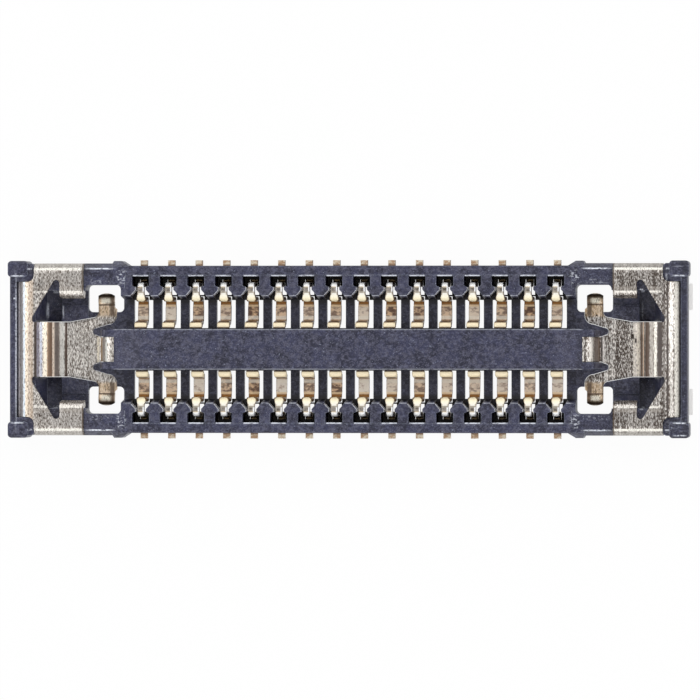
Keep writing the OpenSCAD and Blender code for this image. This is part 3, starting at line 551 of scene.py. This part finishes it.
tree = gold.node_tree
cloud = noise(stretched(place, 4.5, 2.0, 0.5), 1.0, 1.0)
dirt = noise(stretched(place, 14.0, 24.0, 20.0), 1.0, 3.0, 0.6)
grain = noise(place, 60.0, 2.0)
clean = luck * 1.1 + 0.05 - in_row_a * 0.2
stained = clean.mix((0.14, 0.07, 0.04), (0.58, 0.45, 0.36))
bare = clean.mix((0.84, 0.56, 0.33), (0.96, 0.88, 0.77))
flat = (dirt + clean * 0.16 - 0.05).ramp(0.42, 0.58).mix(stained, bare)
colour = on_flat.mix(cloud.mix((0.55, 0.36, 0.16), (0.80, 0.60, 0.34)), flat)
colour, cover = striped(colour, across * 0.0, across, height.ramp(0.30, 0.20), BEND_STRIPES)
colour = laid(colour,
    # Painted shade round the bulb
    (shade_around_bulb, (0.30, 0.17, 0.07)),
    # A painted highlight on the bulb and its neck
    (bulb, across.ramp(0.64, 0.70).mix((1.0, 0.90, 0.64), (0.84, 0.82, 0.74))),
    (in_spot, (0.38, 0.34, 0.28)),
    (spot_pan, dirt.ramp(0.40, 0.60).mix((0.10, 0.08, 0.06), (0.34, 0.30, 0.27))),
    # Painted highlights on the crown's end and one side of the neck
    (tip, (1.0, 1.0, 0.98)),
    (side_highlight, (1.0, 1.0, 1.0)),
    # A painted highlight on the lip, then painted shade behind and in front of it
    (on_lip, (1.0, 0.86, 0.60)),
    (lip_back_shade, (0.12, 0.055, 0.02)),
    (lip_front_shade, (0.14, 0.09, 0.05)),
    (on_tail, dirt.ramp(0.42, 0.58).mix((0.54, 0.34, 0.20), (0.90, 0.79, 0.61))),
    (tail_root, (0.30, 0.20, 0.13)),
    # Painted shade on the +X sides of the first row's strips
    (side_shade, (0.10, 0.06, 0.04)))
covered = on_flat + cover + tip + bulb + on_lip + on_tail
put(tree, shader.inputs["Base Color"], colour)
put(tree, shader.inputs["Metallic"], covered.ramp(0.0, 1.0, 0.45, 0.03))
put(tree, shader.inputs["Roughness"], dirt.ramp(0.3, 0.7, 0.26, 0.40))
put(tree, shader.inputs["Normal"], relief(grain, 0.4, 0.003))
print(gold.name, "nodes:", len(tree.nodes))

# %% [markdown]
# ## Signal contacts
# A contact is one strip, bent in a plane: tail, leg, crown, second leg, flat and lip. It
# could be modelled by extruding an outline, but then its width would be the same all the
# way. Here its middle line is walked like a turtle's path, a straight length and then a
# turn, and each place on the line carries the strip's half width there.

# %% The strip's middle line
CONTACTS = 16
STRIP_T = 0.06
TAIL_END = (1.13, STRIP_T / 2)
# A straight length, then a turn in degrees with its radius
STRIP_MOVES = [(0.253, -90, 0.06), (0.346, 90, 0.034), (0.078, 90, 0.07),
    (0.245, -90, 0.065), (0.190, -90, 0.045), (0.220, 110, 0.035)]
# A mark counts moves: its whole number is the move, and the turn starts at a half
WIDTH_MARKS = [(0.0, 0.0475), (1.0, 0.0475), (1.8, 0.045), (1.95, 0.041), (2.08, 0.045),
    (2.5, 0.045), (3.0, 0.066), (4.0, 0.067), (4.1, 0.070), (5.3, 0.070), (5.5, 0.0815),
    (5.85, 0.0815), (6.0, 0.074)]
LEAN_MARKS = [(0.0, 0.0), (3.5, 0.0), (4.0, 0.33), (4.5, 0.5), (5.0, 1.0), (6.0, 1.0)]
STRIDE = 0.012
SWING = 7.5


def walked(start, heading, moves, stride, swing):
    """Places along a bent strip, each with a mark: its move's number and share of it."""
    place, turned = Vector(start), heading
    places = [(place.copy(), 0.0)]
    for number, (length, turn, radius) in enumerate(moves):
        ahead = Vector((math.cos(turned), math.sin(turned)))
        steps = max(1, round(length / stride))
        for k in range(1, steps + 1):
            places.append((place + ahead * length * k / steps, number + 0.5 * k / steps))
        place = place + ahead * length
        bend = math.radians(turn)
        side = math.copysign(1.0, bend)
        centre = place + Vector((-math.sin(turned), math.cos(turned))) * side * radius
        steps = max(1, round(abs(turn) / swing))
        for k in range(1, steps + 1):
            now = turned + bend * k / steps
            out = Vector((-math.sin(now), math.cos(now))) * side * radius
            places.append((centre - out, number + 0.5 + 0.5 * k / steps))
        turned += bend
        place = places[-1][0].copy()
    return places


def between(marks, mark):
    """The value at a mark, on straight lines between the listed marks."""
    for (a, low), (b, high) in zip(marks, marks[1:]):
        if mark <= b:
            return low + (high - low) * (mark - a) / (b - a)
    return marks[-1][1]


line = walked(TAIL_END, math.pi, STRIP_MOVES, STRIDE, SWING)
line_mesh = bpy.data.meshes.new("contact_line")
line_mesh.from_pydata([(0.0, p.x, p.y) for p, mark in line],
    [(k, k + 1) for k in range(len(line) - 1)], [])
for name, marks in (("half_width", WIDTH_MARKS), ("lean_share", LEAN_MARKS)):
    values = line_mesh.attributes.new(name, "FLOAT", "POINT")
    values.data.foreach_set("value", [between(marks, mark) for p, mark in line])
print("places on the line:", len(line))

# %% The strip's section
SECTION_HW = 0.05
SECTION_R = 0.014
CORNER_STEPS = 4
SPOT_HW = 0.034
SPOT_FLAT = 0.026
COLUMNS = [-SPOT_HW, -SPOT_FLAT, 0.0, SPOT_FLAT, SPOT_HW]


def rounded_section(half_w, half_t, r, steps, columns):
    """Outline of a strip's section with rounded corners and extra points along its faces."""
    points = []
    for cx, cy, first in ((half_w - r, half_t - r, 0), (r - half_w, half_t - r, 90),
            (r - half_w, r - half_t, 180), (half_w - r, r - half_t, 270)):
        for k in range(steps + 1):
            a = math.radians(first + 90 * k / steps)
            points.append((cx + r * math.cos(a), cy + r * math.sin(a), 0.0))
        if first == 0:
            points += [(c, half_t, 0.0) for c in reversed(columns)]
        if first == 180:
            points += [(c, -half_t, 0.0) for c in columns]
    return points


section_points = rounded_section(SECTION_HW, STRIP_T / 2, SECTION_R, CORNER_STEPS, COLUMNS)
section_mesh = bpy.data.meshes.new("contact_section")
count = len(section_points)
section_mesh.from_pydata(section_points, [(k, (k + 1) % count) for k in range(count)], [])
print("points in the section:", count)

# %% [markdown]
# ## A tree for the rows
# Sixteen equal parts in a row are best made once and repeated. A Geometry Nodes tree does
# that as a recipe with a few named inputs: it sweeps the section along the line, moves the
# sides out to the width, coins the crown, rounds the lip, and sets the strip on a line of
# points. Each lip gets a slight sideways lean of its own from a random number with a fixed
# seed. The second row is the same recipe, turned half round.

# %% Geometry Nodes helpers
def new_tree(name, inputs):
    """An empty Geometry Nodes tree with its named inputs, and a wrapper for each of them."""
    tree = bpy.data.node_groups.new(name, "GeometryNodeTree")
    tree.interface.new_socket("Geometry", in_out="OUTPUT", socket_type="NodeSocketGeometry")
    ports = {}
    for label, kind in inputs.items():
        port = tree.interface.new_socket(label, in_out="INPUT", socket_type=kind)
        ports[label] = port.identifier
    source = tree.nodes.new("NodeGroupInput")
    given = {label: Sock(tree, source.outputs[label]) for label in inputs}
    return tree, ports, given


def helper(name, mesh):
    """An object that only helps to make a mesh, and is removed again."""
    made = bpy.data.objects.new(name, mesh)
    bpy.context.scene.collection.objects.link(made)
    return made


def grown(tree, ports, values, name):
    """Runs the tree with its inputs set, and returns the result as a plain mesh."""
    carrier = helper(name, bpy.data.meshes.new(name + "_start"))
    modifier = carrier.modifiers.new("tree", "NODES")
    modifier.node_group = tree
    for label, value in values.items():
        modifier[ports[label]] = value
    seen = carrier.evaluated_get(bpy.context.evaluated_depsgraph_get())
    mesh = bpy.data.meshes.new_from_object(seen)
    mesh.name = name
    bpy.data.objects.remove(carrier)
    return mesh


# %% A finished piece
MERGE_WITHIN = 0.00003
NO_FANS = 1000


def finished_piece(name, mesh, smooth_angle, fan_over=NO_FANS):
    """A piece in its place, from a mesh in millimetres, with its many-cornered caps fanned."""
    work = bmesh.new()
    work.from_mesh(mesh)
    bmesh.ops.remove_doubles(work, verts=work.verts, dist=MERGE_WITHIN)
    bmesh.ops.poke(work, faces=[f for f in work.faces if len(f.verts) > fan_over])
    work.to_mesh(mesh)
    work.free()
    mesh.transform(Matrix.Scale(MM, 4))
    mesh.shade_smooth()
    mesh.set_sharp_from_angle(angle=math.radians(smooth_angle))
    piece = bpy.data.objects.new(name, mesh)
    bpy.context.scene.collection.objects.link(piece)
    print(name, "faces:", len(mesh.polygons))
    return piece


# %% The row's tree: inputs
row_tree, row_ports, given = new_tree("contact_row", {"Line": "NodeSocketObject",
    "Section": "NodeSocketObject", "Pitch": "NodeSocketFloat", "Count": "NodeSocketInt",
    "Lean": "NodeSocketFloat", "Turn": "NodeSocketFloat", "Seed": "NodeSocketInt",
    "Material": "NodeSocketMaterial"})
add = given["Pitch"].add
print("inputs:", ", ".join(given))


def as_vector(**axes):
    """A vector from numbers for some of its axes."""
    return add("ShaderNodeCombineXYZ", {}, axes)


def stored(name):
    """A number that the mesh carries under a name."""
    return add("GeometryNodeInputNamedAttribute", {"data_type": "FLOAT"}, {"Name": name},
        "Attribute")


# %% The row's tree: one strip
SPOT_Y = 0.744
SPOT_HL = 0.034
SPOT_SLOPE = 0.008
SPOT_DEPTH = 0.008
SPOT_MARGIN = 0.0005
SPOT_TOP = (0.46, 0.47)
# Where the lip and the crown's end start, in Z and in Y
LIP_Z = (0.27, 0.33)
LIP_Y = (0.40, 0.38)
LIP_FORWARD = 0.010
TIP_Z = (0.42, 0.46)
TIP_Y = (0.79, 0.82)
# How fast their corners round off with the distance from the axis, and how far they drop
LIP_CROWN, LIP_POWER, LIP_DROP = 46000.0, 6.0, 0.6
TIP_CROWN, TIP_POWER, TIP_DROP = 4500.0, 4.0, 0.4

# The section swept along the line
line_in = add("GeometryNodeObjectInfo", {}, {"Object": given["Line"]}, "Geometry")
section_in = add("GeometryNodeObjectInfo", {}, {"Object": given["Section"]}, "Geometry")
path = add("GeometryNodeMeshToCurve", {}, {"Mesh": line_in}, "Curve")
section = add("GeometryNodeMeshToCurve", {}, {"Mesh": section_in}, "Curve")
strip = add("GeometryNodeCurveToMesh", {}, {"Curve": path, "Profile Curve": section,
    "Fill Caps": True}, "Mesh")

# Its sides moved out to the width, the coined spot, and the rounded lip and crown end
spot = add("GeometryNodeInputPosition", {}, {})
x, y, z = (spot.part(axis) for axis in "XYZ")
side = x.math("SIGN", x) * x.absolute().ramp(SPOT_HW, SECTION_HW - SECTION_R)
out = side * (stored("half_width") - SECTION_HW)
in_spot = ((y - SPOT_Y).absolute().ramp(SPOT_HL, SPOT_HL - SPOT_SLOPE) * z.ramp(*SPOT_TOP)
    * x.absolute().ramp(SPOT_HW - SPOT_MARGIN, SPOT_FLAT + SPOT_MARGIN))
on_lip = z.ramp(*LIP_Z) * y.ramp(*LIP_Y)
crowned = on_lip * (x + out) ** LIP_POWER * LIP_CROWN
on_tip = z.ramp(*TIP_Z) * y.ramp(*TIP_Y)
rounded = on_tip * (x + out) ** TIP_POWER * TIP_CROWN
offset = as_vector(X=out, Y=(crowned + rounded) * -1.0 - on_lip * LIP_FORWARD,
    Z=in_spot * -SPOT_DEPTH - crowned * LIP_DROP - rounded * TIP_DROP)
strip = add("GeometryNodeSetPosition", {}, {"Geometry": strip, "Offset": offset})
print("nodes for one strip:", len(row_tree.nodes))

# %% The row's tree: the whole row
MOST_LEAN = 2.0

# A strip on each point of the row, with its own random number
spread = (given["Count"] - 1.0) * given["Pitch"] / 2.0
posts = add("GeometryNodeMeshLine", {"mode": "OFFSET"}, {"Count": given["Count"],
    "Start Location": as_vector(X=spread * -1.0), "Offset": as_vector(X=given["Pitch"])})
row = add("GeometryNodeInstanceOnPoints", {}, {"Points": posts, "Instance": strip})
chance = add("FunctionNodeRandomValue", {"data_type": "FLOAT"}, {"Min": 0.0, "Max": MOST_LEAN,
    "Seed": given["Seed"]}, 1)
row = add("GeometryNodeStoreNamedAttribute", {"data_type": "FLOAT", "domain": "INSTANCE"},
    {"Geometry": row, "Name": "chance", "Value": chance})
row = add("GeometryNodeRealizeInstances", {}, {"Geometry": row})

# The lean of each lip, the turn of the whole row, and the material
lean = as_vector(X=stored("lean_share") * stored("chance") * given["Lean"] * -1.0)
row = add("GeometryNodeSetPosition", {}, {"Geometry": row, "Offset": lean})
row = add("GeometryNodeTransform", {}, {"Geometry": row, "Rotation": as_vector(Z=given["Turn"])})
row = add("GeometryNodeSetMaterial", {}, {"Geometry": row, "Material": given["Material"]})
ending = row_tree.nodes.new("NodeGroupOutput")
row_tree.links.new(row.out, ending.inputs[0])
print(row_tree.name, "nodes:", len(row_tree.nodes))

# %% Both rows
LEAN = 0.006
ROWS = (("a", 0.0, 3), ("b", math.pi, 11))
CONTACT_SMOOTH = 50
FAN_OVER = 8

line_object = helper("contact_line", line_mesh)
section_object = helper("contact_section", section_mesh)
for letter, turn, seed in ROWS:
    mesh = grown(row_tree, row_ports, {"Line": line_object, "Section": section_object,
        "Pitch": PITCH, "Count": CONTACTS, "Lean": LEAN, "Turn": turn, "Seed": seed,
        "Material": gold}, f"contact_row_{letter}")
    row_piece = finished_piece(f"contact_row_{letter}", mesh, CONTACT_SMOOTH, fan_over=FAN_OVER)
    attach(row_piece, "root")
    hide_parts(*[name for name in nodes if name.startswith("contact_" + letter)])
for used in (line_object, section_object):
    bpy.data.objects.remove(used)

# %% [markdown]
# ## Real edges
# The housing and the fittings are right in the drawing, but a drawing's edges are
# perfectly sharp and its bends are made of flats. They could be rounded by the shader
# alone, but a shader can't change an outline. So a copy of each has its triangles joined
# back into whole faces. Its sharp edges are then bevelled, and its bends are shaded as one
# smooth surface. Both steps need sizes near one, so the copy is worked on in millimetres.

# %% A joined copy with rounded edges
JOIN_WITHIN = 0.0003
FLAT_WITHIN = 0.6
SHARP_OVER = 33


def rounded_copy(name, node, width, segments):
    """A piece like the CAD node, with every edge sharper than SHARP_OVER rounded."""
    mesh = nodes[node].data.copy()
    mesh.transform(Matrix.Scale(1 / MM, 4))
    work = bmesh.new()
    work.from_mesh(mesh)
    for layer in list(work.loops.layers.float_vector.values()):
        work.loops.layers.float_vector.remove(layer)
    bmesh.ops.remove_doubles(work, verts=work.verts, dist=JOIN_WITHIN)
    bmesh.ops.dissolve_limit(work, angle_limit=math.radians(FLAT_WITHIN), verts=work.verts,
        edges=work.edges)
    plain = bpy.data.meshes.new(name)
    plain.from_pydata([v.co.copy() for v in work.verts], [],
        [[v.index for v in f.verts] for f in work.faces])
    work.free()
    carrier = helper(name + "_start", plain)
    bevel = carrier.modifiers.new("bevel", "BEVEL")
    bevel.width = width
    bevel.segments = segments
    bevel.limit_method = "ANGLE"
    bevel.angle_limit = math.radians(SHARP_OVER)
    bevel.use_clamp_overlap = True
    seen = carrier.evaluated_get(bpy.context.evaluated_depsgraph_get())
    done = bpy.data.meshes.new_from_object(seen)
    bpy.data.objects.remove(carrier)
    return finished_piece(name, done, SHARP_OVER)


# %% [markdown]
# ## End fittings
# Each fitting is stamped from one sheet and bent over the end of the housing: a band over
# the end wall, an ear along each side, a tongue that dips into the end bay, and two arms
# that grip the plug. It holds the plug, anchors the part to the board and carries power.
# One fitting could be mirrored for the other end, but both solids are there already, so
# each is copied from its own. A stamped edge is soft and takes the wider rounding.

# %% The end fittings
FITTING_ROUND = 0.010

for side in ("left", "right"):
    fitting = rounded_copy(f"fitting_{side}", f"end_fitting_{side}", FITTING_ROUND, 3)
    dress(fitting, nickel)
    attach(fitting, "root")
    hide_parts(f"end_fitting_{side}")

# %% [markdown]
# ## Housing
# The housing is one moulding with a floor, two side walls full of pockets, an island in
# the middle and a block at each corner. Its many small pockets could be cut here again,
# but a copy of the solid has them exactly. A mould leaves its edges nearly sharp, so the
# rounding is half as wide and needs fewer steps.

# %% The housing
HOUSING_ROUND = 0.005

housing = rounded_copy("housing_shell", "housing", HOUSING_ROUND, 2)
dress(housing, plastic)
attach(housing, "root")
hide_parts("housing")

# %% [markdown]
# ## Floor
# The photograph's background is pure white. The floor is a pale matte sheet, and to the
# camera it is mixed with plain white, so that its colour stays white and a part of the
# shadow stays. A floor lit until it is white would do too, but its light would also wash
# out the sides of the part.

# %% Floor
FLOOR_HALF = 400 * MM
FLOOR_DROP = 0.0005 * MM
FLOOR_COLOUR = (0.8, 0.8, 0.8)
WHITE = (1.0, 1.0, 1.0)
WHITE_SHARE = 0.95

floor_mesh = bpy.data.meshes.new("floor")
corners = [(i * FLOOR_HALF, j * FLOOR_HALF, -FLOOR_DROP)
    for i, j in ((-1, -1), (1, -1), (1, 1), (-1, 1))]
floor_mesh.from_pydata(corners, [], [(0, 1, 2, 3)])
floor = bpy.data.objects.new("floor", floor_mesh)
bpy.context.scene.collection.objects.link(floor)
print("floor:", round(2 * FLOOR_HALF / MM), "mm wide")

# %% Floor paper
paper = bpy.data.materials.new("floor_paper")
paper.use_nodes = True
tree = paper.node_tree
tree.nodes.clear()
rays = tree.nodes.new("ShaderNodeLightPath")
seen = Sock(tree, rays.outputs["Is Camera Ray"])
seen = seen.math("MAXIMUM", seen, Sock(tree, rays.outputs["Is Glossy Ray"]))
seen = seen.math("MAXIMUM", seen, Sock(tree, rays.outputs["Is Transmission Ray"]))
matte = seen.add("ShaderNodeBsdfDiffuse", {}, {"Color": FLOOR_COLOUR})
glow = seen.add("ShaderNodeEmission", {}, {"Color": WHITE, "Strength": 1.0})
both = tree.nodes.new("ShaderNodeMixShader")
put(tree, both.inputs[0], seen * WHITE_SHARE)
put(tree, both.inputs[1], matte)
put(tree, both.inputs[2], glow)
surface = tree.nodes.new("ShaderNodeOutputMaterial")
tree.links.new(both.outputs[0], surface.inputs["Surface"])
dress(floor, paper)
print(paper.name, "nodes:", len(tree.nodes))

# %% [markdown]
# ## Light
# A tent of light surrounds the part, as a photographer would build it from white cloth:
# plain near the horizon, with a brighter ring half way up, and dimmer overhead, where the
# camera stands in the way. The metal's flats look up at that dim patch, which keeps their
# grain from washing out. Two square lamps at the ends give the edges their soft glints.

# %% Light tent
TENT_TOP = 0.55
TENT_SIDE = 0.95
TOP_FROM = 0.88
TOP_FULL = 0.97
RING_LOW = 0.42
RING_HIGH = 0.74
RING_SOFT = (0.06, 0.08)
RING_LEVEL = 1.5

world = bpy.data.worlds.new("tent")
bpy.context.scene.world = world
world.use_nodes = True
tree = world.node_tree
tree.nodes.clear()
where = tree.nodes.new("ShaderNodeTexCoord")
up = Sock(tree, where.outputs["Generated"]).part("Z")
low_soft, high_soft = RING_SOFT
ring = (up.ramp(RING_LOW - low_soft, RING_LOW + low_soft)
    * up.ramp(RING_HIGH + high_soft, RING_HIGH - high_soft))
tent = up.ramp(TOP_FROM, TOP_FULL, TENT_SIDE, TENT_TOP) + ring * (RING_LEVEL - TENT_SIDE)
rays = tree.nodes.new("ShaderNodeLightPath")
seen = Sock(tree, rays.outputs["Is Camera Ray"])
level = tent + seen * (1.0 - tent)
light = up.add("ShaderNodeBackground", {}, {"Color": WHITE, "Strength": level})
surface = tree.nodes.new("ShaderNodeOutputWorld")
tree.links.new(light.out, surface.inputs["Surface"])
print(world.name, "nodes:", len(tree.nodes))

# %% Softboxes
LAMP_AWAY = 60 * MM
LAMP_SIZE = 22 * MM
LAMP_LEVEL = 2.0
LAMP_UP = 38


def softbox(name, azimuth, elevation, away, size, level):
    """A square lamp that faces the part and shines at the given level."""
    data = bpy.data.lights.new(name, "AREA")
    data.shape = "SQUARE"
    data.size = size
    data.energy = level * math.pi * size * size
    lamp = bpy.data.objects.new(name, data)
    bpy.context.scene.collection.objects.link(lamp)
    a, e = math.radians(azimuth), math.radians(elevation)
    place = Vector((math.cos(a) * math.cos(e), math.sin(a) * math.cos(e), math.sin(e)))
    lamp.location = place * away
    lamp.rotation_mode = "QUATERNION"
    lamp.rotation_quaternion = place.to_track_quat("Z", "Y")
    print(name, "power in watts:", round(data.energy, 5))


softbox("softbox_left", 160, LAMP_UP, LAMP_AWAY, LAMP_SIZE, LAMP_LEVEL)
softbox("softbox_right", 20, LAMP_UP, LAMP_AWAY, LAMP_SIZE, LAMP_LEVEL)

# %% [markdown]
# ## View settings
# The view settings are Blender's plainest, so a colour renders as it is written.

# %% Colours as written
bpy.context.scene.view_settings.view_transform = "Standard"
